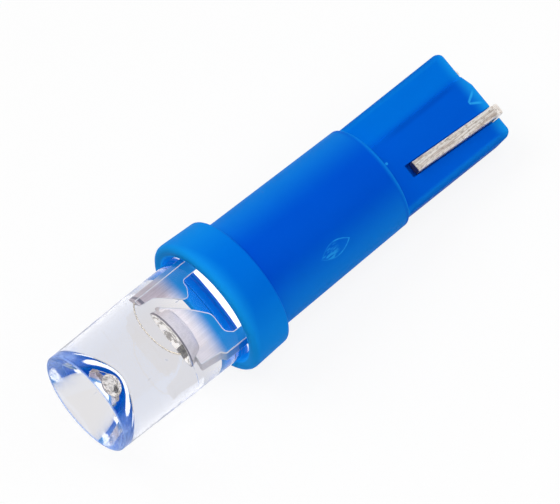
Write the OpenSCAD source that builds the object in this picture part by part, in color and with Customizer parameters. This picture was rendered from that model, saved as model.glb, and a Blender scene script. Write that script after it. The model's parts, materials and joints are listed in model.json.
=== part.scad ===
// Wedge-base LED bulb, lying on its side as it comes to rest.
// Every piece is drawn along the bulb's own axis and laid down last by lay():
// +X runs from the lens to the blade's end, Y is the blade's width and Z its thickness,
// with X = 0 at the rear face of the collar, where the bulb seats.

/* [Collar] */
// Outer diameter of the collar at its front edge
collar_d = 6.45; // [6:0.05:8]
// Diameter of the tapered collar at its rear edge
collar_rear_d = 6.22; // [5.9:0.02:7.8]
// Length of the collar along the axis
collar_len = 2.16; // [1.6:0.02:3]
// Clearance round the LED's flange in the collar's recess
seat_gap = 0.08; // [0.03:0.01:0.15]
// Depth of that recess
seat_depth = 0.94; // [0.5:0.02:1.2]

/* [Barrel] */
// Length of the barrel behind the collar
barrel_len = 7.43; // [6.2:0.01:11]
// Barrel diameter where it meets the collar
barrel_d = 5.24; // [4.6:0.02:5.9]
// Draft: how much smaller the barrel's rear diameter is
barrel_draft = 0.3; // [0:0.02:0.4]
// Bore that houses the resistor
bore_d = 3.9; // [3.6:0.05:4.2]
// Wall that closes the bore at the blade
end_wall = 1.3; // [0.6:0.1:1.6]

/* [Blade] */
// Length of the wedge blade
blade_len = 5.8; // [4.8:0.1:8]
// Width of the blade
blade_w = 4.6; // [3.8:0.1:5]
// Thickness of the blade
blade_t = 2.1; // [1.9:0.05:2.5]
// Radius of the blade's long edges
blade_edge_r = 0.3; // [0.1:0.05:0.5]
// Drop of the shallow step on the blade's faces
step_drop = 0.08; // [0.02:0.01:0.15]
// Width of that stepped-down band
step_w = 1.4; // [0.6:0.1:1.5]
// Distance between the two lead passages
passage_pitch = 2.3; // [2.1:0.05:2.6]
// Depth of the grooves that hold the folded contacts
groove_depth = 0.22; // [0.1:0.02:0.3]
// Angle by which the upper contact leans towards the axis
toe_in = 3.5; // [0:0.5:4]
// Length of a folded contact
contact_len = 4.18; // [3:0.01:4.4]

/* [Lens] */
// Length of the epoxy casting
lens_len = 7.4; // [6.2:0.1:9]
// Diameter at the rim
lens_d = 4.84; // [4:0.02:5.2]
// Draft: how much the diameter grows from the rim to the flange
lens_draft = 0.16; // [0.02:0.02:0.3]
// How far the flange stands out of the body
flange_out = 0.08; // [0.02:0.01:0.15]
// Length of the flange
flange_len = 0.9; // [0.7:0.05:1.2]
// Length over which the body widens to the flange
flange_blend = 0.7; // [0.3:0.05:1]
// Width of the rim round the dished front
rim_w = 0.07; // [0.02:0.01:0.5]
// Depth of the dish
dish_depth = 1.7; // [0.8:0.05:2]

/* [Lead frame] */
// Distance between the two leads at the casting
lead_pitch = 2.54; // [2.5:0.02:2.6]
// Thickness of the square leads
lead_t = 0.5; // [0.4:0.02:0.6]
// Height of the bond post's tip above the casting's base
frame_h = 3.11; // [2.9:0.01:4]
// Diameter of the reflector cup
cup_d = 1.8; // [1.6:0.02:2]
// Side of the square chip
chip_w = 0.3; // [0.2:0.01:0.36]
// Height of the chip
chip_h = 0.3; // [0.24:0.01:0.32]

/* [Resistor] */
// Diameter over the lacquer
resistor_d = 1.7; // [1.4:0.05:2.1]
// Length over the lacquer
resistor_len = 3.2; // [2.6:0.1:3.9]
// Diameter of its wires
resistor_lead_d = 0.48; // [0.4:0.02:0.5]

/* [Hidden] */
$fn = 64;
e = 0.01;                                   // overshoot of a cut past the face it opens

// Holder
edge_r = 0.1;                               // radius of the collar's rear edge and of the barrel's end
collar_front_r = 0.2;                       // radius of the collar's front edge
mouth_bevel = 0.24;                         // 45 degree bevel round the mouth of the recess
barrel_rear_d = barrel_d - barrel_draft;
bore_end = barrel_len - end_wall;
blade_end = barrel_len + blade_len;
lead_gap = 0.05;                            // clearance round a lead in its passage or groove
passage_w = lead_t + 2 * lead_gap;
pocket_len = 0.45;                          // pocket under the cut end of a folded contact
pocket_depth = 0.5;
pocket_lead = 0.24;                         // how far the pocket shows beyond the cut end

// Contacts: a lead leaves its passage, turns up the blade's end and turns back along the face
bend_r = 0.35;                              // centre-line radius of both turns
overhang = 0.37;                            // how far the turn stands out of the blade's end
bend_x = blade_end + overhang - lead_t / 2 - bend_r;
run_z = blade_t / 2 - groove_depth + lead_t / 2;
notch_depth = blade_end - bend_x + lead_gap;   // in the blade's end, for the turn

// LED
lens_base = -collar_len + seat_depth;       // the casting's flat rear face
rim_x = lens_base - lens_len;
lens_rear_d = lens_d + lens_draft;
flange_d = lens_rear_d + 2 * flange_out;
flange_x = lens_base - flange_len;
seat_d = flange_d + 2 * seat_gap;
dish_d = lens_d - 2 * rim_w;
dish_steps = 12;                            // rings of the dish, which is a cone with a rounded tip
dish_tip = 0.35;                            // roundness of that tip, 0 for a sharp one
lead_in = lead_pitch / 2 - lead_t / 2;      // inner and outer edge of a lead
lead_out = lead_pitch / 2 + lead_t / 2;
frame_x = lens_base - frame_h;              // tip of the bond post
cup_x = frame_x + 0.18;                     // the cup's mouth lies behind it
cup_len = 0.7;                              // the cup tapers back into the plate
cup_root_d = 1.5;                           // the cup's outer diameter where it meets the plate
cup_y = -0.09;                              // the cup sits off the axis, on the anvil's side
cup_depth = 0.2;
cup_rim = 0.1;                              // wall round the cup's mouth
cup_floor_x = cup_x + cup_depth;
cup_mouth_r = cup_d / 2 - cup_rim;
cup_floor_r = cup_mouth_r - cup_depth / 2;
glue_t = 0.03;                              // thickness of the glue
glue_r = chip_w * sqrt(0.5) + 0.03;         // the glue shows round the chip's corners
chip_y = cup_y + glue_r + glue_t - cup_floor_r;     // the chip sits off the cup's middle
chip_x = cup_floor_x - glue_t - chip_h;     // the chip's emitting face
plate_x = cup_x + 0.27;                     // front edge of the anvil plate
wire_r = 0.03;                              // bond wire
wire_bow = 1.15;                            // its arc's radius over half the way it spans
post_tip_y = 1.22;                          // inner edge of the post's tip

// Resistor
joint_x = [lens_base + 0.32, lens_base + 1.32];     // where its wire is soldered beside the post lead
solder_film = 0.04;                         // between the wire and the post lead
joint_y = lead_in - resistor_lead_d / 2 - solder_film;
resistor_gap = 0.05;                        // between the lacquer and the anvil lead
resistor_x = (joint_x[1] + bore_end - resistor_len) / 2;
resistor_y = (resistor_d - passage_pitch + lead_t) / 2 + resistor_gap;
resistor_end = resistor_x + resistor_len;
coat_t = 0.1;
cap_t = 0.1;
stub = 0.2;                                 // straight wire outside the lacquer
cap_len = 0.75;
end_len = cap_len + 2 * coat_t;             // the lacquer's thick end bands
cap_d = resistor_d - 2 * coat_t;
core_d = cap_d - 2 * cap_t;
solder_r = 0.58;                            // round the middle of post and wire
solder_in = 0.15;                           // bare ends that the solder leaves

// Rest: the collar's rear edge, the barrel's end and one corner of the blade touch the floor
tilt = atan((collar_rear_d - barrel_rear_d) / 2 / barrel_len);
rest_h = (collar_rear_d / 2 - edge_r) * cos(tilt) - edge_r * sin(tilt) + edge_r;
corner_y = blade_w / 2 - blade_edge_r;
corner_z = blade_t / 2 - blade_edge_r;
corner_drop = (rest_h - blade_end * sin(tilt)) / cos(tilt) - blade_edge_r;
roll = asin(min(1, corner_drop / norm([corner_y, corner_z]))) - atan(corner_z / corner_y);

module lay() { rotate([roll, tilt, 0]) children(); }

// Turns a profile drawn as [x, radius] about the bulb's axis
module turned() { rotate([0, 90, 0]) rotate_extrude() mirror([1, -1]) children(); }

// Straight round wire along +X
module wire(a, len, r) { translate(a) rotate([0, 90, 0]) cylinder(r = r, h = len); }

// Depth of the dish at u, from 0 on the axis to 1 at its edge
function dish_curve(u) = 1 - (norm([u, dish_tip]) - dish_tip) / (norm([1, dish_tip]) - dish_tip);

module holder_profile() {
    difference() {
        union() {
            polygon([[-collar_len, 0], [-collar_len, collar_d / 2 - collar_front_r],
                     [-collar_len + collar_front_r, collar_d / 2 - collar_front_r],
                     [-collar_len + collar_front_r, collar_d / 2], [-edge_r, collar_rear_d / 2],
                     [-edge_r, 0]]);
            translate([-collar_len + collar_front_r, collar_d / 2 - collar_front_r]) circle(collar_front_r);
            translate([-edge_r, collar_rear_d / 2 - edge_r]) circle(edge_r);
            translate([-edge_r, 0]) square([edge_r, collar_rear_d / 2 - edge_r]);
            polygon([[-e, 0], [-e, barrel_d / 2], [barrel_len - edge_r, barrel_rear_d / 2],
                     [barrel_len - edge_r, 0]]);
            translate([barrel_len - edge_r, barrel_rear_d / 2 - edge_r]) circle(edge_r);
            square([barrel_len, barrel_rear_d / 2 - edge_r]);
        }
        translate([-collar_len - e, 0]) square([seat_depth + e, seat_d / 2]);
        polygon([[-collar_len - e, 0], [-collar_len - e, seat_d / 2 + mouth_bevel + e],
                 [-collar_len + mouth_bevel, seat_d / 2], [-collar_len + mouth_bevel, 0]]);
        translate([-collar_len, 0]) square([collar_len + bore_end, bore_d / 2]);
    }
}

module blade_section() {
    square([blade_t, 2 * corner_y], center = true);
    square([2 * corner_z, blade_w], center = true);
    for (y = [-1, 1], z = [-1, 1]) translate([z * corner_z, y * corner_y]) circle(blade_edge_r);
}

module blade() {
    translate([barrel_len - edge_r, 0, 0]) rotate([0, 90, 0])
        linear_extrude(blade_len + edge_r) blade_section();
}

// What is cut away for one contact: passage, end notch, groove, pocket and the stepped band beside it
module contact_cut(toe) {
    translate([bore_end - e, -passage_pitch / 2 - passage_w / 2, -passage_w / 2])
        cube([blade_end - bore_end + 2 * e, passage_w, passage_w]);
    translate([blade_end - notch_depth, -passage_pitch / 2 - passage_w / 2, -passage_w / 2])
        cube([notch_depth + e, passage_w, blade_t]);
    translate([bend_x, -passage_pitch / 2, blade_t / 2 - groove_depth]) rotate([0, 0, -toe]) {
        translate([-contact_len - pocket_lead, -passage_w / 2, 0])
            cube([contact_len + pocket_lead, passage_w, blade_t]);
        translate([-contact_len - pocket_lead, -passage_w / 2, groove_depth - pocket_depth])
            cube([pocket_len, passage_w, blade_t]);
    }
    translate([bend_x - e, -passage_pitch / 2 - passage_w / 2, blade_t / 2 - groove_depth])
        cube([blade_len, passage_w, blade_t]);
    translate([barrel_len + edge_r, blade_w / 2 - step_w, blade_t / 2 - step_drop])
        cube([blade_len, step_w + e, blade_t]);
}

module wedge_holder() color([0, 0.4, 0.85]) lay() difference() {
    union() {
        turned() holder_profile();
        blade();
    }
    contact_cut(toe_in);
    rotate([180, 0, 0]) contact_cut(0);
}

module lens_profile() {
    difference() {
        polygon([[rim_x, 0], [rim_x, lens_d / 2], [flange_x - flange_blend, lens_rear_d / 2],
                 [flange_x, flange_d / 2], [lens_base, flange_d / 2], [lens_base, 0]]);
        polygon([[rim_x - e, -e], [rim_x - e, dish_d / 2],
                 for (k = [dish_steps : -1 : 0]) [rim_x + dish_depth * dish_curve(k / dish_steps),
                                                  dish_d / 2 * k / dish_steps],
                 [rim_x + dish_depth, -e]]);
    }
}

module led_lens() color([0.9, 0.92, 0.96, 0.4]) lay() difference() {
    turned() lens_profile();
    anvil_shape();
    post_shape();
    chip_shape();
    glue_shape();
    wire_shape();
}

// The folded end of a contact, from the blade's passage on
module contact_fold() {
    y = -passage_pitch / 2;
    translate([bend_x, y, bend_r]) rotate([90, 0, 0])
        rotate([0, 0, -90]) rotate_extrude(angle = 90) translate([bend_r, 0]) square(lead_t, center = true);
    translate([bend_x + bend_r - lead_t / 2, y - lead_t / 2, bend_r])
        cube([lead_t, lead_t, run_z - 2 * bend_r]);
    translate([bend_x, y, run_z - bend_r]) rotate([90, 0, 0])
        rotate_extrude(angle = 90) translate([bend_r, 0]) square(lead_t, center = true);
    translate([bend_x, y, run_z - lead_t / 2]) rotate([0, 0, -toe_in])
        translate([-contact_len, -lead_t / 2, 0]) cube([contact_len, lead_t, lead_t]);
}

// Stamped anvil: plate, reflector cup and the long lead, all of one sheet
module anvil_shape() {
    shift = (lead_pitch - passage_pitch) / 2;
    difference() {
        union() {
            translate([0, 0, -lead_t / 2]) linear_extrude(lead_t) polygon([
                [plate_x, 0.8], [plate_x + 0.14, 0.8], [plate_x + 0.94, 0.34], [plate_x + 1.7, -0.22],
                [plate_x + 1.7, -0.84], [plate_x + 2.02, -lead_in], [lens_base, -lead_in],
                [bore_end, shift - lead_in], [bend_x, shift - lead_in], [bend_x, shift - lead_out],
                [bore_end, shift - lead_out], [lens_base, -lead_out], [plate_x + 1.24, -lead_out],
                [plate_x + 1.04, -1.35], [plate_x, -1.25]]);
            translate([cup_x, cup_y, 0]) rotate([0, 90, 0])
                cylinder(d1 = cup_d, d2 = cup_root_d, h = cup_len);
        }
        translate([cup_x - e, cup_y, 0]) rotate([0, 90, 0])
            cylinder(r1 = cup_mouth_r, r2 = cup_floor_r, h = cup_depth + e);
    }
}

module anvil_lead() color([0.78, 0.77, 0.74]) lay() {
    anvil_shape();
    contact_fold();
}

// Stamped bond post and its short lead
module post_shape() {
    translate([0, 0, -lead_t / 2]) linear_extrude(lead_t) polygon([
        [frame_x, post_tip_y], [frame_x + 0.65, 1.16], [frame_x + 1.58, 0.56], [frame_x + 1.78, 0.52],
        [frame_x + 2.06, 0.76], [frame_x + 2.1, lead_in], [joint_x[1], lead_in],
        [joint_x[1], lead_out], [frame_x, lead_out]]);
}

module post_lead() color([0.78, 0.77, 0.74]) lay() post_shape();

module chip_shape() {
    translate([chip_x, chip_y - chip_w / 2, -chip_w / 2]) cube([chip_h, chip_w, chip_w]);
}

module led_chip() color([0.45, 0.5, 0.45]) lay() chip_shape();

module glue_shape() {
    translate([chip_x + chip_h, chip_y, 0]) rotate([0, 90, 0]) cylinder(r = glue_r, h = glue_t);
}

module die_attach() color([0.7, 0.7, 0.7]) lay() glue_shape();

// Bond wire: a circular arc from the chip's face to the middle of the post's tip
module wire_shape() {
    reach = ((post_tip_y + lead_out) / 2 - chip_y) / 2;
    arc_r = reach * wire_bow;
    sink = sqrt(arc_r * arc_r - reach * reach);
    far = 4;                                // wider than the wire
    difference() {
        translate([frame_x + sink, chip_y + reach, 0]) rotate_extrude() translate([arc_r, 0]) circle(wire_r);
        translate([frame_x, chip_y + reach, -far / 2]) cube(far);
        translate([chip_x, chip_y + reach - far, -far / 2]) cube(far);
    }
}

module bond_wire() color([0.9, 0.75, 0.4]) lay() wire_shape();

// Cylinder of the resistor, from x on
module rod(x, len, d) { translate([x, resistor_y, 0]) rotate([0, 90, 0]) cylinder(d = d, h = len); }

module core_shape() { rod(resistor_x + coat_t + cap_t, resistor_len - 2 * (coat_t + cap_t), core_d); }

module cap_outer(x) { rod(x, cap_len, cap_d); }

module resistor_core() color([0.9, 0.88, 0.82]) lay() core_shape();

module resistor_cap_front() color([0.75, 0.75, 0.75]) lay() difference() {
    cap_outer(resistor_x + coat_t);
    core_shape();
}

module resistor_cap_rear() color([0.75, 0.75, 0.75]) lay() difference() {
    cap_outer(resistor_end - coat_t - cap_len);
    core_shape();
}

// Lacquer over rod and caps, thinner in the middle
module resistor_coat() color([0.55, 0.75, 0.85]) lay() difference() {
    union() {
        for (x = [resistor_x, resistor_end - end_len]) rod(x, end_len, resistor_d);
        rod(resistor_x + coat_t, resistor_len - 2 * coat_t, cap_d);
    }
    core_shape();
    cap_outer(resistor_x + coat_t);
    cap_outer(resistor_end - coat_t - cap_len);
    for (x = [resistor_x - e, resistor_end - coat_t]) rod(x, coat_t + e, resistor_lead_d);
}

// Wire that runs to x = 0, slants over to y = h at x = l and runs on; each knee overlaps by half a radius
module jog(before, l, h, after, r) {
    wire([-before, 0, 0], before + r / 2, r);
    rotate([0, 0, atan2(h, l)]) wire([-r / 2, 0, 0], norm([l, h]) + r, r);
    wire([l - r / 2, h, 0], after + r / 2, r);
}

module front_wire_shape() {
    translate([joint_x[1], joint_y, 0])
        jog(joint_x[1] - joint_x[0], resistor_x - stub - joint_x[1], resistor_y - joint_y, coat_t + stub,
            resistor_lead_d / 2);
}

module resistor_lead_front() color([0.75, 0.73, 0.7]) lay() front_wire_shape();

module resistor_lead_rear() color([0.75, 0.73, 0.7]) lay() {
    r = resistor_lead_d / 2;
    translate([resistor_end + stub, resistor_y, 0])
        jog(coat_t + stub, bore_end - resistor_end - stub - r, passage_pitch / 2 - resistor_y,
            bend_x - bore_end + r, r);
    rotate([180, 0, 0]) round_fold(r);
}

// As contact_fold(), in round wire that lies on the groove's floor
module round_fold(r) {
    y = -passage_pitch / 2;
    z = blade_t / 2 - groove_depth + r;
    translate([bend_x, y, bend_r]) rotate([90, 0, 0])
        rotate([0, 0, -90]) rotate_extrude(angle = 90) translate([bend_r, 0]) circle(r);
    translate([bend_x + bend_r, y, bend_r]) cylinder(r = r, h = z - 2 * bend_r);
    translate([bend_x, y, z - bend_r]) rotate([90, 0, 0])
        rotate_extrude(angle = 90) translate([bend_r, 0]) circle(r);
    wire([bend_x - contact_len, y, z], contact_len, r);
}

module solder_joint() color([0.7, 0.7, 0.72]) lay() difference() {
    translate([joint_x[0] + solder_in, lead_in - resistor_lead_d / 4, 0]) rotate([0, 90, 0])
        cylinder(r = solder_r, h = joint_x[1] - joint_x[0] - 2 * solder_in);
    post_shape();
    front_wire_shape();
}

wedge_holder();
led_lens();
anvil_lead();
post_lead();
led_chip();
die_attach();
bond_wire();
resistor_core();
resistor_cap_front();
resistor_cap_rear();
resistor_coat();
resistor_lead_front();
resistor_lead_rear();
solder_joint();
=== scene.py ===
"""Wedge-base LED bulb: a clear, dished LED in a blue moulded holder, with two leads folded back as contacts.

Every piece is drawn along the bulb's own axis, in millimetres. x runs from the lens to the blade's end and is
0 at the collar's rear face, y is the blade's width and z its thickness. lay_down() brings it to its place.
"""
import itertools
import json
import math

import bmesh
import bpy
from mathutils import Matrix, Vector


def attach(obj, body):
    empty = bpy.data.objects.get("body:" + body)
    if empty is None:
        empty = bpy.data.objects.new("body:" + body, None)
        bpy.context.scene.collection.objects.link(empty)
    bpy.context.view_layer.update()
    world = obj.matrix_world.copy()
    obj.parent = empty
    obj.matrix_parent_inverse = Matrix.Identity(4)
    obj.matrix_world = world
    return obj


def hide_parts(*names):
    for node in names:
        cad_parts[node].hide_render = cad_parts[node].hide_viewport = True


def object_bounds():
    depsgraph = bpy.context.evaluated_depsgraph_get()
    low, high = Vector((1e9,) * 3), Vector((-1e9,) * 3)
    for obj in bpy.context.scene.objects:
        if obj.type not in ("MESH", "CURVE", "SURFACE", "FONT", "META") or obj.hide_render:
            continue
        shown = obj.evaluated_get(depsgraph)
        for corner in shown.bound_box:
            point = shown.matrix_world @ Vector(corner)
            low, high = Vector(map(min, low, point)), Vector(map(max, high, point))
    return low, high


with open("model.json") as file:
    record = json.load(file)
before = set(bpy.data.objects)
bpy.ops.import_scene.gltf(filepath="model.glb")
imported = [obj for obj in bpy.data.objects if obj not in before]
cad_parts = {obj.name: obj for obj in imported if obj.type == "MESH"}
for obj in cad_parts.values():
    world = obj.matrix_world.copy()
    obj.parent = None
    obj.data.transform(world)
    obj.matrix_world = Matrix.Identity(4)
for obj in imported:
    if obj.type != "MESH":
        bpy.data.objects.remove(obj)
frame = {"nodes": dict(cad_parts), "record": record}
cad_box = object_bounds()


# ---- How the bulb lies ---------------------------------------------------------------------------------
# The bulb lies on its collar, its barrel and one corner of its blade. The face it seats on gives the way it
# points, and the flat sides of the square chip give the way it is turned about its axis.
seat = next(m for m in frame["record"]["mounts"] if m["name"] == "collar_seat")
bulb_axis = Vector(seat["axis"]).normalized()
blade_width_way = max((face.normal.copy() for face in frame["nodes"]["led_chip"].data.polygons),
                      key=lambda normal: normal.y)
blade_flat_way = bulb_axis.cross(blade_width_way).normalized()
bulb_turn = Matrix((bulb_axis, blade_width_way, blade_flat_way)).transposed()
laid = bulb_turn.to_4x4() @ Matrix.Scale(0.001, 4)


def lay_down(piece, node):
    """Brings a finished piece from the bulb's own frame to its place, where it stands for its CAD node."""
    piece.data.transform(laid)
    piece.data.update()
    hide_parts(node)
    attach(piece, "root")


# ---- Holder --------------------------------------------------------------------------------------------
# One injection moulding in translucent blue plastic: collar, hollow barrel and flat wedge blade. It was fed
# at the side of the barrel, where the sheared-off gate has left a pointed oval scar.
class Signal:
    """A socket in a node tree. Maths on it adds Math nodes to the tree, and node() adds any other node."""

    def __init__(self, tree, socket=None):
        self.tree = tree
        self.socket = socket

    def node(self, kind, settings=None, sockets=None, output=0):
        """Adds a node, sets it up, feeds its sockets with values or signals, and returns one output."""
        made = self.tree.nodes.new(kind)
        for name, value in (settings or {}).items():
            if name == "items":
                for _ in range(value - len(made.index_switch_items)):
                    made.index_switch_items.new()
            else:
                setattr(made, name, value)
        for name, value in (sockets or {}).items():
            for fed in value if isinstance(value, list) else [value]:
                if isinstance(fed, Signal):
                    self.tree.links.new(fed.socket, made.inputs[name])
                else:
                    made.inputs[name].default_value = fed
        return Signal(self.tree, made.outputs[output]) if made.outputs else None

    def maths(self, operation, *others):
        """A Math node whose first value is this."""
        return self.node("ShaderNodeMath", {"operation": operation}, dict(enumerate((self, *others))))

    def __add__(self, other):
        return self.maths("ADD", other)

    __radd__ = __add__

    def __sub__(self, other):
        return self.maths("SUBTRACT", other)

    def __rsub__(self, other):
        return self.node("ShaderNodeMath", {"operation": "SUBTRACT"}, {0: other, 1: self})

    def __mul__(self, other):
        return self.maths("MULTIPLY", other)

    __rmul__ = __mul__

    def __truediv__(self, other):
        return self.maths("DIVIDE", other)

    def __abs__(self):
        return self.maths("ABSOLUTE")

    def most(self, *others):
        """The greatest of this and the others."""
        greatest = self
        for other in others:
            greatest = greatest.maths("MAXIMUM", other)
        return greatest

    def hypot(self, other):
        """The length of a line that goes this far one way and the other value at right angles to it."""
        return (self * self + other * other).maths("SQRT")

    def parts(self):
        """The X, Y and Z of a vector."""
        split = self.node("ShaderNodeSeparateXYZ", sockets={0: self})
        return [Signal(self.tree, socket) for socket in split.socket.node.outputs]

    def step(self, low, high):
        """0 below low and 1 above high, or the other way round, with a soft ramp between them."""
        return self.node("ShaderNodeMapRange", {"interpolation_type": "SMOOTHSTEP"},
                         {"Value": self, "From Min": low, "From Max": high})

    def blend(self, low, high):
        """A colour between low, where this is 0, and high, where it is 1."""
        return self.node("ShaderNodeMix", {"data_type": "RGBA"}, {0: self, 6: low, 7: high}, 2)


# Points and corners that lie closer than this are one, and an edge is sharp from this angle.
same_point = 1e-4
same_corner = 5e-4
sharp_from = math.radians(35)


def geometry_tree(name, inputs):
    """A Geometry Nodes tree with these named inputs, and the inputs as signals in it."""
    tree = bpy.data.node_groups.new(name, "GeometryNodeTree")
    tree.interface.new_socket("Geometry", in_out="OUTPUT", socket_type="NodeSocketGeometry")
    kinds = {int: "NodeSocketInt", float: "NodeSocketFloat", bpy.types.Material: "NodeSocketMaterial"}
    for label, value in inputs.items():
        tree.interface.new_socket(label, in_out="INPUT", socket_type=kinds[type(value)])
    start = tree.nodes.new("NodeGroupInput")
    return Signal(tree), {label: Signal(tree, start.outputs[label]) for label in inputs}


def grown(name, geometry, given, inputs):
    """Gives the geometry its finish, runs its tree with these inputs and keeps the plain mesh."""
    real = geometry.node("GeometryNodeRealizeInstances", sockets={0: geometry})
    finished = real.node("GeometryNodeSetMaterial", sockets={"Geometry": real, "Material": given["Finish"]})
    finished.node("NodeGroupOutput", sockets={0: finished})
    piece = bpy.data.objects.new(name, bpy.data.meshes.new(name))
    bpy.context.scene.collection.objects.link(piece)
    modifier = piece.modifiers.new(name, "NODES")
    modifier.node_group = geometry.tree
    for item in geometry.tree.interface.items_tree:
        if item.in_out == "INPUT":
            modifier[item.identifier] = inputs[item.name]
    return applied(piece)


def by_point(tree, kind, values):
    """Gives each point its own one of these values."""
    index = tree.node("GeometryNodeInputIndex")
    return tree.node("GeometryNodeIndexSwitch", {"data_type": kind, "items": len(values)},
                     {0: index, **{n + 1: value for n, value in enumerate(values)}})


def rounded_outline(tree, corners, steps, closed=False):
    """A curve through corners (place, rounding), each turned into an arc of that radius."""
    line = tree.node("GeometryNodeMeshLine", sockets={"Count": len(corners), "Offset": (1, 0, 0)})
    line = tree.node("GeometryNodeSetPosition", sockets={
        "Geometry": line, "Position": by_point(tree, "VECTOR", [place for place, _ in corners])})
    curve = tree.node("GeometryNodeMeshToCurve", sockets={0: line})
    if closed:
        curve = tree.node("GeometryNodeSetSplineCyclic", sockets={"Geometry": curve, "Cyclic": True})
    return tree.node("GeometryNodeFilletCurve", {"mode": "POLY"}, {
        "Curve": curve, "Count": steps, "Limit Radius": True,
        "Radius": by_point(tree, "FLOAT", [rounding for _, rounding in corners])})


def turned_body(tree, corners, steps, segments):
    """Turns an outline of corners (x, radius, rounding) about the bulb's axis."""
    places = [(tree.node("ShaderNodeCombineXYZ", sockets={"X": x, "Y": radius}), rounding)
              for x, radius, rounding in corners]
    outline = rounded_outline(tree, places, steps)
    points = tree.node("GeometryNodeAttributeDomainSize", {"component": "CURVE"}, {"Geometry": outline},
                       "Point Count")
    columns = segments + 1
    grid = tree.node("GeometryNodeMeshGrid", sockets={"Vertices X": points, "Vertices Y": columns})
    index = tree.node("GeometryNodeInputIndex")
    ring = (index / columns).maths("FLOOR")
    angle = (index - ring * columns) * (2 * math.pi) / segments
    on_outline = tree.node("GeometryNodeSampleIndex", {"data_type": "FLOAT_VECTOR"}, {
        "Geometry": outline, "Value": tree.node("GeometryNodeInputPosition"), "Index": ring})
    x, radius, _ = on_outline.parts()
    turned = tree.node("ShaderNodeCombineXYZ", sockets={
        "X": x, "Y": radius * angle.maths("COSINE"), "Z": radius * angle.maths("SINE")})
    body = tree.node("GeometryNodeSetPosition", sockets={"Geometry": grid, "Position": turned})
    return tree.node("GeometryNodeMergeByDistance", sockets={"Geometry": body, "Distance": same_point})


def applied(piece):
    """Turns the piece's modifiers into plain mesh."""
    mesh = bpy.data.meshes.new_from_object(piece.evaluated_get(bpy.context.evaluated_depsgraph_get()))
    piece.modifiers.clear()
    piece.data = mesh
    return piece


def facing_out(piece):
    """Merges a closed piece's doubled corners, points its faces outwards and shades it smooth between edges.

    Large faces keep their own direction, so that the small roundings beside them don't bend their light.
    """
    shape = bmesh.new()
    shape.from_mesh(piece.data)
    bmesh.ops.remove_doubles(shape, verts=shape.verts, dist=same_corner)
    bmesh.ops.recalc_face_normals(shape, faces=shape.faces)
    for face in shape.faces:
        face.smooth = True
    shape.to_mesh(piece.data)
    shape.free()
    piece.data.set_sharp_from_angle(angle=sharp_from)
    even = piece.modifiers.new("even", "WEIGHTED_NORMAL")
    even.mode = "FACE_AREA"
    even.weight = 100
    even.keep_sharp = True
    return applied(piece)


def joined(piece, *others):
    """Joins other closed pieces to this one into a single closed mesh."""
    for other in others:
        joint = piece.modifiers.new("joint", "BOOLEAN")
        joint.operation = "UNION"
        joint.solver = "EXACT"
        joint.object = other
        applied(piece)
        bpy.data.objects.remove(other)
    return piece


def softened(piece, radius, steps, wanted=lambda edge: True):
    """Rounds the piece's sharp edges, or those of them that are wanted."""
    shape = bmesh.new()
    shape.from_mesh(piece.data)
    sharp = [edge for edge in shape.edges if edge.calc_face_angle(0) > sharp_from and wanted(edge)]
    bmesh.ops.bevel(shape, geom=sharp, offset=radius, offset_type="OFFSET", segments=steps, profile=0.5,
                    affect="EDGES", clamp_overlap=True)
    bmesh.ops.remove_doubles(shape, verts=shape.verts, dist=same_corner)
    shape.to_mesh(piece.data)
    shape.free()
    return piece


def new_material(name):
    """An empty material, and the start of its node tree."""
    material = bpy.data.materials.new(name)
    material.use_nodes = True
    material.node_tree.nodes.clear()
    return material, Signal(material.node_tree)


def bulb_place(tree):
    """Where a point of the surface lies, in millimetres along the bulb's own axes."""
    return tree.node("ShaderNodeMapping", sockets={
        "Vector": tree.node("ShaderNodeTexCoord", output="Object"),
        "Rotation": bulb_turn.inverted().to_euler(), "Scale": (1000, 1000, 1000)})


def noise(place, scale, fineness=(1, 1, 1), detail=3, roughness=0.5):
    """A soft random pattern from 0 to 1, with its own fineness along each axis."""
    place = place.node("ShaderNodeVectorMath", {"operation": "MULTIPLY"}, {0: place, 1: fineness})
    return place.node("ShaderNodeTexNoise", sockets={
        "Vector": place, "Scale": scale, "Detail": detail, "Roughness": roughness}, output="Fac")


def raised(height, strength, distance):
    """The surface's normal once it is raised by height."""
    return height.node("ShaderNodeBump", sockets={
        "Height": height, "Strength": strength, "Distance": distance}, output="Normal")


def show(surface):
    """Makes this shader what the material shows."""
    surface.node("ShaderNodeOutputMaterial", sockets={"Surface": surface})


# Collar and barrel, turned about the axis, with the lens's recess and the bore inside them.
collar_d = 6.45
collar_rear_d = 6.22
collar_len = 2.16
front_cone = 0.09
front_r = 0.26
mouth_bevel = 0.24
edge_r = 0.1
barrel_d = 5.24
barrel_end_d = 4.94
barrel_len = 7.43
recess_d = 5.32
recess_depth = 0.94
bore_d = 3.9
bore_end = 6.13

# Blade, with a lowered band along one edge of each face and a kink where its raised part ends.
blade_w = 4.6
blade_t = 2.1
blade_end = barrel_len + 5.8
blade_root = 0.2
blade_edge_r = 0.3
blade_small_r = 0.035
band_w = 1.4
band_drop = 0.08
band_short = 0.17
kink_y = 0.34
tolerance = 0.01

# The leads' way through the blade and round its end, and back in a groove that starts in a deeper pocket.
lead_t = 0.5
contact_len = 4.18
bend_x = 13.0
toe_in = math.radians(3.5)
slot_w = 0.6
slot_y = 1.15
groove_depth = 0.22
pocket_depth = 0.5
pocket_len = 0.45
pocket_lead = 0.24
slot_start = bend_x - contact_len - pocket_lead
notch_x = bend_x - 0.05

# Marks in the plastic: the gate's scar, a chipped spot and a speck. A dark line by the band's step is painted
# shadow.
gate_x = 3.48
gate_turn = math.radians(36.7)
gate_len = 1.6
gate_w = 0.76
chipped_x = blade_end - 0.68
chipped_y = -0.2
chipped_slope = 0.6
chipped_len = 0.6
speck_x = 8.01
speck_y = -0.03
speck_r = 0.08
step_shadow_y = 0.8
step_shadow_half_w = 0.22


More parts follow.
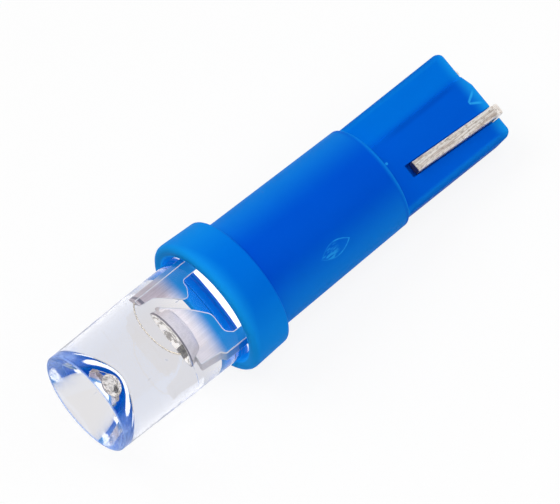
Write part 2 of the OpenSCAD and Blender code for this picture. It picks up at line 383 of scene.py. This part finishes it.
def gate_scar(place):
    """The sheared-off gate: a pointed oval outline, clearest at its rear, and scrapes in its front half."""
    x, y, z = place.parts()
    aside = ((y * -1).maths("ARCTAN2", z) - gate_turn) * (barrel_d / 2)
    along = (x - gate_x) / (gate_len / 2)
    within = (1 - along * along) * (gate_w / 2) - abs(aside)
    outline = within.step(-0.03, 0.0) * within.step(0.07, 0.02) * (along.step(-0.5, 0.6) * 0.7 + 0.3)
    scrapes = noise(place, 2.6, (1, 3, 3)).step(0.42, 0.6) * within.step(0, 0.05) * along.step(0.35, -0.15)
    return (scrapes * 0.8).most(outline * (noise(place, 3).step(0.3, 0.55) * 0.7 + 0.3))


def blade_marks(place):
    """A chipped V near the blade's end, and a speck beside the barrel."""
    x, y, z = place.parts()
    along = x - chipped_x
    off_line = abs(abs(y - chipped_y) - along * chipped_slope)
    chipped = (off_line.step(0.09, 0.02) * along.step(0, 0.05) * along.step(chipped_len, 0.35)
               * z.step(0.5, 0.8) * noise(place, 4).step(0.25, 0.4))
    speck = (x - speck_x).hypot(y - speck_y).step(speck_r, speck_r / 2) * z.step(0, 0.5)
    return chipped.most(speck)


def blue_plastic():
    """Moulded translucent blue: clouded by its flow, finely scratched and scuffed, with light, shade and glow
    painted in.
    """
    material, tree = new_material("moulded_blue_plastic")
    place = bulb_place(tree)
    x, y, z = place.parts()
    radius = y.hypot(z)
    cloud = noise(place, 0.45, (0.5, 1, 1))
    grain = noise(place, 14)

    # Painted shade: the barrel and the blade, but for a strip along one long edge, take the darker blues; the
    # collar and that strip keep the paler ones, as if lit more.
    barrel = x.step(-0.1, 0.1) * x.step(barrel_len + 0.1, barrel_len - 0.1)
    shaded_blade_face = x.step(barrel_len, barrel_len + 0.1) * y.step(1.2, 0.7) * 0.8
    colour = barrel.most(shaded_blade_face).blend(cloud.blend((0.0, 0.13, 0.64, 1), (0.0, 0.17, 0.7, 1)),
                                            cloud.blend((0.0, 0.07, 0.55, 1), (0.0, 0.09, 0.61, 1)))
    # Painted light: the collar's front, the blade's end, the barrel's rim and the barrel's two sides are
    # painted a paler cyan, as if lit through the plastic.
    collar_front = x.step(-1.1, -2.2)
    pale_end = x.step(blade_end - 0.7, blade_end + 0.05)
    barrel_rim = (x.step(barrel_len - 0.25, barrel_len)
                  * radius.step(barrel_end_d / 2 - 0.27, barrel_end_d / 2 - 0.07) * 0.6)
    lit_barrel_sides = (abs(y) / radius).step(0.25, 1.2) * x.step(barrel_len, barrel_len - 0.3) * 0.48
    painted_pale_light = (collar_front.most(pale_end, barrel_rim) * 0.7).most(lit_barrel_sides)
    colour = painted_pale_light.blend(colour, (0.01, 0.37, 0.86, 1))
    # Painted shade: the blade's two long rounded edges are painted darker, except near its end.
    shaded_blade_edges = abs(y).step(blade_w / 2 - 0.35, blade_w / 2 - 0.05) * x.step(barrel_len, barrel_len + 0.15)
    colour = (shaded_blade_edges * (1 - pale_end) * 0.55).blend(colour, (0.0, 0.06, 0.45, 1))
    # Painted shadow: a dark line along the foot of the step at the band's edge, on the upper face.
    step_shadow = (abs(y - step_shadow_y).step(step_shadow_half_w, 0.02) * x.step(8.3, 9.5) * x.step(12.9, 12.0)
                 * z.step(0.4, 0.8) * (noise(place, 1.0, (0.3, 1, 1)) * 0.45 + 0.1))
    colour = step_shadow.blend(colour, (0.0, 0.045, 0.4, 1))
    marks = gate_scar(place).most(blade_marks(place))
    colour = (marks * 0.6).blend(colour, (0.03, 0.45, 0.9, 1))

    # Painted light: the walls of the recess and the bore glow blue, self-lit as if light came through the
    # plastic.
    in_recess = x.step(-0.9, -1.1) * radius.step(recess_d / 2 + 0.14, recess_d / 2 + 0.04)
    in_bore = x.step(bore_end + 0.17, bore_end + 0.07) * radius.step(bore_d / 2 + 0.15, bore_d / 2 + 0.05)
    lit_through = (in_recess.most(in_bore) * 0.4).blend((0, 0, 0, 1), (0.0, 0.14, 0.55, 1))
    scratches = noise(place, 1.6, (0.25, 9, 9), 2).step(0.66, 0.74)
    height = grain * 0.4 + noise(place, 2.2) * 0.8 - scratches * 0.3
    show(tree.node("ShaderNodeBsdfPrincipled", sockets={
        "Base Color": colour, "Roughness": 0.4 + grain * 0.12 + scratches * 0.1, "Specular IOR Level": 0.006,
        "Emission Color": lit_through, "Emission Strength": 1.0, "Normal": raised(height, 0.25, 2e-5)}))
    return material


def solid_block(name, finish, planes, is_solid, moved):
    """A closed mesh of the solid cells between three sets of planes. moved gives each corner its place."""
    shape = bmesh.new()
    corners = {}

    def corner(*spot):
        if spot not in corners:
            corners[spot] = shape.verts.new(moved(*(levels[n] for levels, n in zip(planes, spot))))
        return corners[spot]

    def filled(cell):
        inside = all(0 <= n < len(levels) - 1 for levels, n in zip(planes, cell))
        return inside and is_solid(*((levels[n] + levels[n + 1]) / 2 for levels, n in zip(planes, cell)))

    cells = itertools.product(*(range(len(levels) - 1) for levels in planes))
    for cell, way, side in itertools.product(filter(filled, cells), range(3), (0, 1)):
        beside = list(cell)
        beside[way] += 2 * side - 1
        if filled(beside):
            continue
        ring = []
        for a, b in ((0, 0), (1, 0), (1, 1), (0, 1)):
            offset = [a, b]
            offset.insert(way, side)
            ring.append(corner(*(n + shift for n, shift in zip(cell, offset))))
        shape.faces.new(ring)
    bmesh.ops.recalc_face_normals(shape, faces=shape.faces)
    bmesh.ops.dissolve_limit(shape, angle_limit=math.radians(0.3), verts=shape.verts, edges=shape.edges)
    mesh = bpy.data.meshes.new(name)
    shape.to_mesh(mesh)
    shape.free()
    piece = bpy.data.objects.new(name, mesh)
    bpy.context.scene.collection.objects.link(piece)
    mesh.materials.append(finish)
    return piece


def blade_is_solid(x, y, z):
    """False where the blade is cut away: bands, grooves, pockets, end notches and lead passages."""
    for aside, high in ((y, z), (-y, -z)):
        depth = blade_t / 2 - high
        in_slot = abs(aside + slot_y) < slot_w / 2
        band = aside > blade_w / 2 - band_w and depth < band_drop
        groove = in_slot and x > slot_start and depth < groove_depth
        pocket = in_slot and slot_start < x < slot_start + pocket_len and depth < pocket_depth
        notch = in_slot and x > notch_x and high > -slot_w / 2
        passage = in_slot and abs(high) < slot_w / 2
        if band or groove or pocket or notch or passage:
            return False
    return True


def blade_place(x, y, z):
    """Leans the upper groove towards the axis, and cuts the raised part short with a slanted kink."""
    by_groove = abs(abs(y + slot_y) - slot_w / 2) < tolerance and z > blade_t / 2 - pocket_depth - tolerance
    if by_groove and barrel_len < x < notch_x:
        y += (notch_x - x) * math.tan(toe_in)
    if x > blade_end - tolerance:
        x -= band_short * min(max((y - kink_y) / (blade_w / 2 - band_w - kink_y), 0), 1)
    return x, y, z


def is_long_corner(edge):
    """True for the blade's four outer edges along its length."""
    return all(abs(vert.co.y) > blade_w / 2 - tolerance
               and abs(vert.co.z) > blade_t / 2 - band_drop - tolerance for vert in edge.verts)


def both_sides(half, *middle):
    """These levels and their mirror images in order, with any other levels between the two."""
    return [-level for level in reversed(half)] + list(middle) + half


plastic = blue_plastic()
along_blade = [barrel_len - blade_root, slot_start, slot_start + pocket_len, notch_x, blade_end]
half_width = [slot_y - slot_w / 2, blade_w / 2 - band_w, slot_y + slot_w / 2, blade_w / 2]
half_thickness = [slot_w / 2] + [blade_t / 2 - depth for depth in (pocket_depth, groove_depth, band_drop, 0)]
across_blade = both_sides(half_width, kink_y)
through_blade = both_sides(half_thickness)
blade = solid_block("blade", plastic, (along_blade, across_blade, through_blade), blade_is_solid, blade_place)
softened(blade, blade_edge_r, 6, is_long_corner)
softened(blade, blade_small_r, 2, lambda edge: max(vert.co.x for vert in edge.verts) > barrel_len)

sizes = {"Finish": plastic, "Collar diameter": collar_d, "Collar rear diameter": collar_rear_d,
         "Collar length": collar_len, "Front cone": front_cone, "Front rounding": front_r,
         "Mouth bevel": mouth_bevel, "Edge rounding": edge_r, "Barrel diameter": barrel_d,
         "Barrel end diameter": barrel_end_d, "Barrel length": barrel_len, "Recess diameter": recess_d,
         "Recess depth": recess_depth, "Bore diameter": bore_d, "Bore end": bore_end, "Segments": 192}
tree, given = geometry_tree("turned_holder", sizes)
front = 0 - given["Collar length"]
recess_floor = front + given["Recess depth"]
holder = grown("wedge_holder_moulding", turned_body(tree, [
    (given["Bore end"], 0.0, 0.0),
    (given["Bore end"], given["Bore diameter"] / 2, 0.0),
    (recess_floor, given["Bore diameter"] / 2, 0.0),
    (recess_floor, given["Recess diameter"] / 2, 0.0),
    (front + given["Mouth bevel"], given["Recess diameter"] / 2, 0.05),
    (front + given["Front cone"], given["Collar diameter"] / 2, given["Front rounding"]),
    (0.0, given["Collar rear diameter"] / 2, given["Edge rounding"]),
    (0.0, given["Barrel diameter"] / 2, 0.04),
    (given["Barrel length"], given["Barrel end diameter"] / 2, given["Edge rounding"]),
    (given["Barrel length"], 0.0, 0.0)], 5, given["Segments"]), given, sizes)
facing_out(joined(facing_out(holder), facing_out(blade)))
lay_down(holder, "wedge_holder")


# ---- LED lens ------------------------------------------------------------------------------------------
# Water-clear epoxy cast round the lead frame, with a dished front and a flange at its base. It rests on the
# floor of the holder's recess. Its base is painted white and self-lit in the middle, over the bore, and
# painted blue and faintly self-lit round it.
rim_x = -8.62
rim_r = 0.03
parting_x = -4.62
parting_r = 2.484
parting_half_w = 0.03
flange_x = -1.55
lens_base = -1.22
lens_d = 4.84
lens_rear_d = 5.0
flange_d = 5.16
dish_d = 4.7
dish_depth = 1.7
dish_tip = 0.35
dish_rings = 24
white_glow_r = 1.65


def cast_glass(tree, place, radius):
    """Epoxy that grows greyer towards the front, faintly rippled. The lamps' light goes straight through."""
    x, _, _ = place.parts()
    front_grey = x.step(-2.0, -3.6) + (noise(place, 0.9, (0.5, 1, 1)) - 0.5) * 0.2
    front_grey = front_grey * (radius.step(lens_d / 2 - 0.04, lens_d / 2 - 0.02) * 0.6 + 0.4)
    glass = tree.node("ShaderNodeBsdfPrincipled", sockets={
        "Base Color": front_grey.blend((0.975, 0.98, 0.99, 1), (0.71, 0.714, 0.765, 1)),
        "Roughness": noise(place, 9).step(0.3, 0.9) * 0.03,
        "IOR": 1.53, "Specular Tint": (0.12, 0.4, 0.88, 1), "Transmission Weight": 1.0,
        "Normal": raised(noise(place, 1.1, (0.6, 1, 1), 2), 0.2, 3e-5)})
    clear = tree.node("ShaderNodeBsdfTransparent", sockets={"Color": (0.93, 0.94, 0.96, 1)})
    lamp_ray = tree.node("ShaderNodeLightPath", output="Is Shadow Ray")
    return tree.node("ShaderNodeMixShader", sockets={0: lamp_ray, 1: glass, 2: clear})


def lens_wear(place, radius):
    """How dull the casting's skin is: patches at the front's sides, the rim, the parting line, scratches."""
    x, y, _ = place.parts()
    front_sides = (abs(y) / radius).step(0.45, 0.85) * x.step(-7.6, -8.5)
    patches = front_sides * (noise(place, 2.5).step(0.3, 0.7) * 0.35 + 0.15)
    rim = (x.step(rim_x + 0.1, rim_x + 0.03) * radius.step(lens_d / 2 - 0.14, lens_d / 2 - 0.08)) * 0.5
    from_parting = abs(x - parting_x - noise(place, 1.5) * 0.1)
    parting_line = from_parting.step(0.035, 0.01) * noise(place, 1.3).step(0.4, 0.55) * y.step(-0.9, -1.6)
    scratches = noise(place, 3.2, (0.5, 1.6, 1.6), 2).step(0.73, 0.76) * x.step(-7.5, -7.2)
    outside = radius.step(lens_d / 2 - 0.12, lens_d / 2 - 0.06)
    return patches.most(rim, (parting_line * 0.4).most(scratches * 0.3) * outside)


def clear_epoxy():
    """Clear epoxy with dull, faintly self-lit marks. Its base is painted white and self-lit over the bore,
    and blue and faintly self-lit round it.
    """
    material, tree = new_material("clear_epoxy")
    place = bulb_place(tree)
    x, y, z = place.parts()
    radius = y.hypot(z)
    grain = noise(place, 5)
    # The dull skin is painted bluish and faintly self-lit: a painted glow.
    dull_glowing_skin = tree.node("ShaderNodeBsdfPrincipled", sockets={
        "Base Color": grain.blend((0.22, 0.38, 0.8, 1), (0.42, 0.53, 0.87, 1)), "Roughness": 0.5,
        "Emission Color": (0.03, 0.07, 0.16, 1), "Emission Strength": 1.0})
    skin = tree.node("ShaderNodeMixShader", sockets={
        0: lens_wear(place, radius), 1: cast_glass(tree, place, radius), 2: dull_glowing_skin})
    # Painted light: over the bore the base is painted white and self-lit, and round it painted blue and
    # faintly self-lit.
    over_bore = radius.step(white_glow_r, white_glow_r - 0.15)
    blue = grain.blend((0.0, 0.08, 0.45, 1), (0.0, 0.13, 0.6, 1))
    base = tree.node("ShaderNodeBsdfPrincipled", sockets={
        "Base Color": over_bore.blend(blue, (0.9, 0.9, 0.9, 1)),
        "Emission Color": over_bore.blend((0.0, 0.05, 0.27, 1), (0.9, 0.9, 0.9, 1)),
        "Emission Strength": 1.0, "Roughness": 0.7})
    at_base = x.step(lens_base - 0.012, lens_base - 0.004)
    show(tree.node("ShaderNodeMixShader", sockets={0: at_base, 1: skin, 2: base}))
    return material


def dish_depth_at(u):
    """How deep the dish is, as a share, at this share of its radius: a cone with a rounded tip."""
    return 1 - (math.hypot(u, dish_tip) - dish_tip) / (math.hypot(1, dish_tip) - dish_tip)


sizes = {"Finish": clear_epoxy(), "Rim": rim_x, "Base": lens_base, "Rim diameter": lens_d,
         "Rear diameter": lens_rear_d, "Flange diameter": flange_d, "Flange": flange_x,
         "Dish diameter": dish_d, "Dish depth": dish_depth, "Segments": 256}
tree, given = geometry_tree("turned_lens", sizes)
dish = []
for k in range(dish_rings + 1):
    u = k / dish_rings
    dish.append((given["Rim"] + given["Dish depth"] * dish_depth_at(u), given["Dish diameter"] * (u / 2),
                 rim_r if k == dish_rings else 0.0))
lens = grown("led_lens_casting", turned_body(tree, dish + [
    (given["Rim"], given["Rim diameter"] / 2, rim_r),
    (parting_x - parting_half_w, parting_r - 0.009, 0.0),
    (parting_x, parting_r, 0.0),
    (parting_x + parting_half_w, parting_r - 0.008, 0.0),
    (given["Flange"], given["Rear diameter"] / 2, 0.03),
    (given["Flange"], given["Flange diameter"] / 2, 0.03),
    (given["Base"], given["Flange diameter"] / 2, 0.01),
    (given["Base"], 0.0, 0.0)], 6, given["Segments"]), given, sizes)
facing_out(lens)
lay_down(lens, "led_lens")


# ---- Lead frame ----------------------------------------------------------------------------------------
# Two leads stamped from half-millimetre tinned sheet. The anvil carries the reflector cup and runs on as a
# long lead through the holder, round the blade's end and back in its groove. The bond wire ends on the post.
lead_in = 1.02
lead_out = 1.52
lead_y = (lead_in + lead_out) / 2
sheet_edge_r = 0.04
cup_x = -4.15
cup_y = -0.09
cup_len = 0.7
cup_d = 1.8
plate_x = cup_x + 0.27
plate_end = lens_base + 0.4
post_x = -4.33
post_end = 0.1
bend_r = 0.35
groove_run_z = blade_t / 2 - groove_depth + lead_t / 2
contact_end = bend_x - contact_len
contact_corner_r = 0.07
# The contact starts just inside the sheet's faces, so that the two join into one clean solid.
flush_gap = 0.002
contact_w = lead_t - 2 * flush_gap


def cup_parts(place):
    """Where the cup's bowl and its rim are, and the small dents that the press has left in the bowl."""
    x, y, z = place.parts()
    from_cup = (y - cup_y).hypot(z)
    by_mouth = x.step(cup_x - 0.1, cup_x - 0.05)
    bowl = x.step(cup_x + 0.3, cup_x + 0.25) * by_mouth * from_cup.step(cup_d / 2 - 0.05, cup_d / 2 - 0.08)
    rim = x.step(cup_x + 0.08, cup_x + 0.06) * by_mouth * from_cup.step(cup_d / 2 - 0.04, cup_d / 2 - 0.02)
    dents = noise(place, 6, detail=4, roughness=0.7).step(0.44, 0.58)
    return bowl, rim, dents


def tinned_metal():
    """Tinned metal, with fine lines along it, dull mottling and a few dark scuffs.

    In the lens it is painted pale on one side and dim on the other, painted with the holder's blue as a
    reflection towards the base, and the cup is painted bright and self-lit with a dark rim. On the blade it
    is worn bright and pitted, and its cut end is painted dark as shadow.
    """
    material, tree = new_material("tinned_lead")
    place = bulb_place(tree)
    x, y, _ = place.parts()
    lines = noise(place, 1.0, (0.6, 26, 26))
    mottle = noise(place, 3.0, (0.7, 1, 1), 4, 0.6)
    scuff = noise(place, 2.4).step(0.66, 0.76)
    bright = mottle.step(0.3, 0.7) * 0.5 + lines.step(0.4, 0.62) * 0.5
    colour = bright.blend((0.62, 0.54, 0.52, 1), (0.98, 0.88, 0.84, 1))
    colour = (scuff * 0.5).blend(colour, (0.2, 0.18, 0.16, 1))

    # Painted reflection: the leads inside the lens near its base are painted the holder's blue.
    blue_reflection = x.step(-3.35, -2.45) * x.step(0, -1)
    cast_in = x.step(-1, -1.4)
    rest_in_lens = cast_in * (1 - blue_reflection)
    colour = blue_reflection.blend(colour, (0.0, 0.27, 0.66, 1))
    # Painted light and shade: inside the lens the leads are painted pale towards the anvil's side and dim
    # towards the post's side.
    colour = (rest_in_lens * y.step(1.1, 0.6) * 0.6).blend(colour, (0.88, 0.85, 0.84, 1))
    colour = (rest_in_lens * y.step(0.7, 1.1) * 0.5).blend(colour, (0.42, 0.33, 0.37, 1))
    # Painted light and shade: the cup's bowl is painted bright cream and self-lit as a painted highlight, and
    # its rim is painted dark as painted shade.
    bowl, rim, dents = cup_parts(place)
    colour = bowl.blend(colour, dents.blend((1.0, 0.98, 0.93, 1), (0.5, 0.47, 0.44, 1)))
    colour = (rim * 0.8).blend(colour, (0.1, 0.09, 0.12, 1))

    on_blade = x.step(8, 8.3)
    pits = noise(place, 9, (0.5, 1, 1), 4, 0.75).step(0.48, 0.62)
    colour = on_blade.blend(colour, lines.step(0.38, 0.56).blend((0.7, 0.6, 0.54, 1), (1.0, 0.96, 0.91, 1)))
    colour = (on_blade * pits * 0.5).blend(colour, (0.25, 0.18, 0.14, 1))
    # Painted shadow: the contact's cut end, in its pocket, is painted dark navy.
    shadowed_end = x.step(contact_end + 0.02, contact_end + 0.01) * on_blade
    colour = (shadowed_end * 0.9).blend(colour, (0.01, 0.02, 0.12, 1))
    show(tree.node("ShaderNodeBsdfPrincipled", sockets={
        "Base Color": colour, "Metallic": 0.5 - scuff * 0.3 - cast_in * 0.2,
        "Roughness": 0.32 + mottle * 0.15 + scuff * 0.2,
        "Emission Color": (bowl * (1 - dents * 0.8)).blend((0, 0, 0, 1), (0.42, 0.4, 0.38, 1)),
        "Emission Strength": 1.0, "Normal": raised(lines * 0.6 + mottle * 0.4, 0.35, 4e-5)}))
    return material


def stamped(name, finish, corners, thickness):
    """A flat piece cut from sheet: an outline of corners (x, y, rounding), as thick each way from z 0."""
    inputs = {"Finish": finish, "Thickness": thickness}
    tree, given = geometry_tree(name, inputs)
    outline = rounded_outline(tree, [((x, y, 0), rounding) for x, y, rounding in corners], 4, closed=True)
    sheet = tree.node("GeometryNodeFillCurve", {"mode": "NGONS"}, {0: outline})
    down = tree.node("ShaderNodeCombineXYZ", sockets={"Z": given["Thickness"] / -2})
    low = tree.node("GeometryNodeSetPosition", sockets={"Geometry": sheet, "Offset": down})
    thick = tree.node("GeometryNodeExtrudeMesh", {"mode": "FACES"}, {
        "Mesh": low, "Offset": (0, 0, 1), "Offset Scale": given["Thickness"], "Individual": False})
    bottom = tree.node("GeometryNodeFlipFaces", sockets={0: low})
    both = tree.node("GeometryNodeJoinGeometry", sockets={0: [thick, bottom]})
    closed = tree.node("GeometryNodeMergeByDistance", sockets={"Geometry": both, "Distance": same_point})
    return softened(grown(name, closed, given, inputs), sheet_edge_r, 2)


def bent_wire(name, finish, corners, width, corner_r):
    """A lead swept along corners (place, bend radius), round, or square with corners rounded by corner_r."""
    inputs = {"Finish": finish, "Width": width, "Corner radius": corner_r}
    tree, given = geometry_tree(name, inputs)
    path = rounded_outline(tree, corners, 12)
    if corner_r < width / 2:
        section = tree.node("GeometryNodeCurvePrimitiveQuadrilateral",
                            sockets={"Width": given["Width"], "Height": given["Width"]})
        section = tree.node("GeometryNodeFilletCurve", {"mode": "POLY"}, {
            "Curve": section, "Count": 4, "Radius": given["Corner radius"]})
    else:
        section = tree.node("GeometryNodeCurvePrimitiveCircle",
                            sockets={"Resolution": 32, "Radius": given["Corner radius"]})
    wire = tree.node("GeometryNodeCurveToMesh",
                     sockets={"Curve": path, "Profile Curve": section, "Fill Caps": True})
    return facing_out(grown(name, wire, given, inputs))


tin = tinned_metal()
plate = facing_out(stamped("anvil_lead_stamping", tin, [
    (plate_x, 0.8, 0.05), (plate_x + 0.14, 0.8, 0.08), (plate_x + 0.94, 0.34, 0.6),
    (plate_x + 1.7, -0.22, 0.3), (plate_x + 1.7, -0.84, 0.25), (plate_x + 2.02, -lead_in, 0.1),
    (plate_end, -lead_in, 0.0), (plate_end, -lead_out, 0.0), (plate_x + 1.24, -lead_out, 0.1),
    (plate_x + 1.04, -1.35, 0.05), (plate_x, -1.25, 0.1)], lead_t))

sizes = {"Finish": tin, "Cup diameter": cup_d, "Cup length": cup_len, "Depth": 0.2, "Rim": 0.1, "Taper": 0.1,
         "Root": 1.5, "Segments": 96}
tree, given = geometry_tree("reflector_cup", sizes)
mouth_r = given["Cup diameter"] / 2 - given["Rim"]
cup = turned_body(tree, [
    (given["Depth"], 0.0, 0.0),
    (given["Depth"], mouth_r - given["Taper"], 0.05),
    (0.0, mouth_r, 0.02),
    (0.0, given["Cup diameter"] / 2, 0.03),
    (given["Cup length"], given["Root"] / 2, 0.25),
    (given["Cup length"], 0.0, 0.0)], 4, given["Segments"])
cup = tree.node("GeometryNodeTransform", sockets={"Geometry": cup, "Translation": (cup_x, cup_y, 0)})
cup = facing_out(grown("reflector_cup", cup, given, sizes))

contact = bent_wire("anvil_contact", tin, [
    ((plate_end - 0.2, -lead_y, 0), 0.0),
    ((plate_end + 0.2, -lead_y, 0), 0.3),
    ((bore_end, -slot_y, 0), 0.5),
    ((bend_x + bend_r, -slot_y, 0), bend_r),
    ((bend_x + bend_r, -slot_y, groove_run_z), bend_r),
    ((contact_end, -slot_y + contact_len * math.sin(toe_in), groove_run_z), 0.0)],
    contact_w, contact_corner_r)
facing_out(joined(plate, cup, contact))
lay_down(plate, "anvil_lead")

post = facing_out(stamped("post_lead_stamping", tin, [
    (post_x, 1.22, 0.03), (post_x + 0.65, 1.16, 0.3), (post_x + 1.58, 0.56, 0.3), (post_x + 1.8, 0.52, 0.2),
    (post_x + 2.08, 0.78, 0.3), (post_x + 2.1, lead_in, 0.2), (post_end, lead_in, 0.0),
    (post_end, lead_out, 0.0), (post_x, lead_out, 0.05)], lead_t))
lay_down(post, "post_lead")


# ---- Other contact -------------------------------------------------------------------------------------
# The series resistor's rear wire, round and tinned. It slants over inside the barrel, runs out through the
# blade and is folded back along the blade's other face.
wire_r = 0.24
under_run_z = -(blade_t / 2 - groove_depth + wire_r)
resistor_end = 4.715
rear_wire = bent_wire("rear_contact_wire", tin, [
    ((resistor_end - 0.1, 0, 0), 0.0),
    ((resistor_end + 0.2, 0, 0), 0.3),
    ((bore_end - wire_r, slot_y, 0), 0.3),
    ((bend_x + bend_r, slot_y, 0), bend_r),
    ((bend_x + bend_r, slot_y, under_run_z), bend_r),
    ((contact_end, slot_y, under_run_z), 0.0)], 2 * wire_r, wire_r)
lay_down(rear_wire, "resistor_lead_rear")


# ---- Chip and inner pieces -----------------------------------------------------------------------------
# The chip sits on a dot of silver glue in the cup, with a gold wire to the post. The resistor hangs in the
# barrel between the two contacts. These pieces keep their own shapes and get their finishes here.
def plain_finish(name, low, high, metallic, roughness, scale):
    """A finish that wanders between two colours, with a fine grain."""
    material, tree = new_material(name)
    grain = noise(bulb_place(tree), scale)
    show(tree.node("ShaderNodeBsdfPrincipled", sockets={
        "Base Color": grain.step(0.3, 0.7).blend(low, high), "Metallic": metallic,
        "Roughness": roughness + grain * 0.15, "Normal": raised(grain, 0.3, 2e-5)}))
    return material


finishes = {
    "led_chip": plain_finish("gallium_chip", (0.12, 0.12, 0.12, 1), (0.28, 0.27, 0.26, 1), 0.0, 0.3, 12),
    "die_attach": plain_finish("silver_glue", (0.45, 0.45, 0.45, 1), (0.65, 0.65, 0.65, 1), 0.5, 0.5, 20),
    "bond_wire": plain_finish("gold_bond_wire", (0.93, 0.84, 0.68, 1), (0.98, 0.92, 0.8, 1), 1.0, 0.2, 10),
    "resistor_core": plain_finish("ceramic_rod", (0.75, 0.72, 0.64, 1), (0.85, 0.83, 0.76, 1), 0.0, 0.7, 8),
    "resistor_coat": plain_finish("blue_lacquer", (0.2, 0.45, 0.6, 1), (0.3, 0.55, 0.7, 1), 0.0, 0.25, 4),
    "resistor_cap_front": tin, "resistor_cap_rear": tin, "resistor_lead_front": tin,
    "solder_joint": plain_finish("solder", (0.5, 0.5, 0.51, 1), (0.68, 0.68, 0.69, 1), 1.0, 0.3, 5)}
for node, finish in finishes.items():
    mesh = frame["nodes"][node].data
    mesh.materials.clear()
    mesh.materials.append(finish)


# ---- Floor, light and camera ---------------------------------------------------------------------------
# A plain white table in a white room that is dark on the near side. One soft lamp stands beside the lens and
# a stronger one overhead.
def seen_directly(tree):
    """1 for what is seen, straight or in metal or through the lens, and 0 for light that falls on things."""
    straight, in_metal, through = (tree.node("ShaderNodeLightPath", output=ray)
                                   for ray in ("Is Camera Ray", "Is Glossy Ray", "Is Transmission Ray"))
    return straight.most(in_metal, through)


def white_floor():
    """A white floor that shows as bright as its shadow lets it."""
    material, tree = new_material("white_floor")
    paper = tree.node("ShaderNodeBsdfDiffuse", sockets={"Color": (0.85, 0.85, 0.85, 1)})
    glow = tree.node("ShaderNodeEmission", sockets={"Color": (1, 1, 1, 1), "Strength": 1.0})
    through = tree.node("ShaderNodeLightPath", output="Is Transmission Ray")
    show(tree.node("ShaderNodeMixShader", sockets={
        0: (seen_directly(tree) * 0.88).most(through), 1: paper, 2: glow}))
    return material


floor_size = 1.2
bpy.ops.mesh.primitive_plane_add(size=floor_size, location=(0, 0, cad_box[0].z))
floor = bpy.context.object
floor.name = "floor"
floor.data.materials.append(white_floor())

view_lean = math.radians(20)
view_turn = math.radians(2.5)
across = blade_flat_way * math.cos(view_turn) - blade_width_way * math.sin(view_turn)
camera_side = across * math.cos(view_lean) - bulb_axis * math.sin(view_lean)

room_light = 0.55
near_side_dark = 0.85
world = bpy.data.worlds.new("room")
bpy.context.scene.world = world
world.use_nodes = True
world.node_tree.nodes.clear()
room = Signal(world.node_tree)
sky_way = room.node("ShaderNodeVectorMath", {"operation": "DOT_PRODUCT"}, {
    0: room.node("ShaderNodeTexCoord", output="Generated"), 1: camera_side}, output="Value")
near_side = sky_way.step(-0.1, 0.5)
unseen = 1 - room.node("ShaderNodeLightPath", output="Is Camera Ray")
strength = ((seen_directly(room) * (1 - room_light) + room_light)
            * (1 - near_side * unseen * near_side_dark))
sky = room.node("ShaderNodeBackground", sockets={"Color": (1, 1, 1, 1), "Strength": strength})
room.node("ShaderNodeOutputWorld", sockets={"Surface": sky})

axis_rise = math.radians(38.57)
axis_seen = (bulb_axis * math.cos(view_lean) + across * math.sin(view_lean)).normalized()
side_seen = camera_side.cross(axis_seen)
right = axis_seen * math.cos(axis_rise) - side_seen * math.sin(axis_rise)
up = axis_seen * math.sin(axis_rise) + side_seen * math.cos(axis_rise)
aim_along = 0.00224
aim_aside = 0.00009
aim = bulb_axis * aim_along - side_seen * aim_aside
camera_distance = 0.5
view_width = 0.02335
sensor_width = 36

camera = bpy.data.objects.new("camera", bpy.data.cameras.new("camera"))
bpy.context.scene.collection.objects.link(camera)
camera.matrix_world = Matrix.Translation(aim + camera_side * camera_distance) @ Matrix(
    (right, up, camera_side)).transposed().to_4x4()
camera.data.sensor_width = sensor_width
camera.data.lens = sensor_width * camera_distance / view_width
camera.data.clip_start = 0.01
camera.data.clip_end = 10
bpy.context.scene.camera = camera


def soft_lamp(name, place, size, power):
    """A square soft lamp that shines at the bulb."""
    lamp = bpy.data.objects.new(name, bpy.data.lights.new(name, "AREA"))
    lamp.data.size = size
    lamp.data.energy = power
    lamp.visible_glossy = False
    lamp.location = place
    lamp.rotation_euler = Vector(place).to_track_quat("Z", "Y").to_euler()
    bpy.context.scene.collection.objects.link(lamp)


soft_lamp("lens_side_lamp", up * 0.1 - right * 0.12 + camera_side * 0.1, 0.14, 0.18)
soft_lamp("overhead_lamp", Vector((0.03, 0.02, 0.2)) - side_seen * 0.12, 0.16, 0.215)

bpy.context.scene.view_settings.view_transform = "Standard"
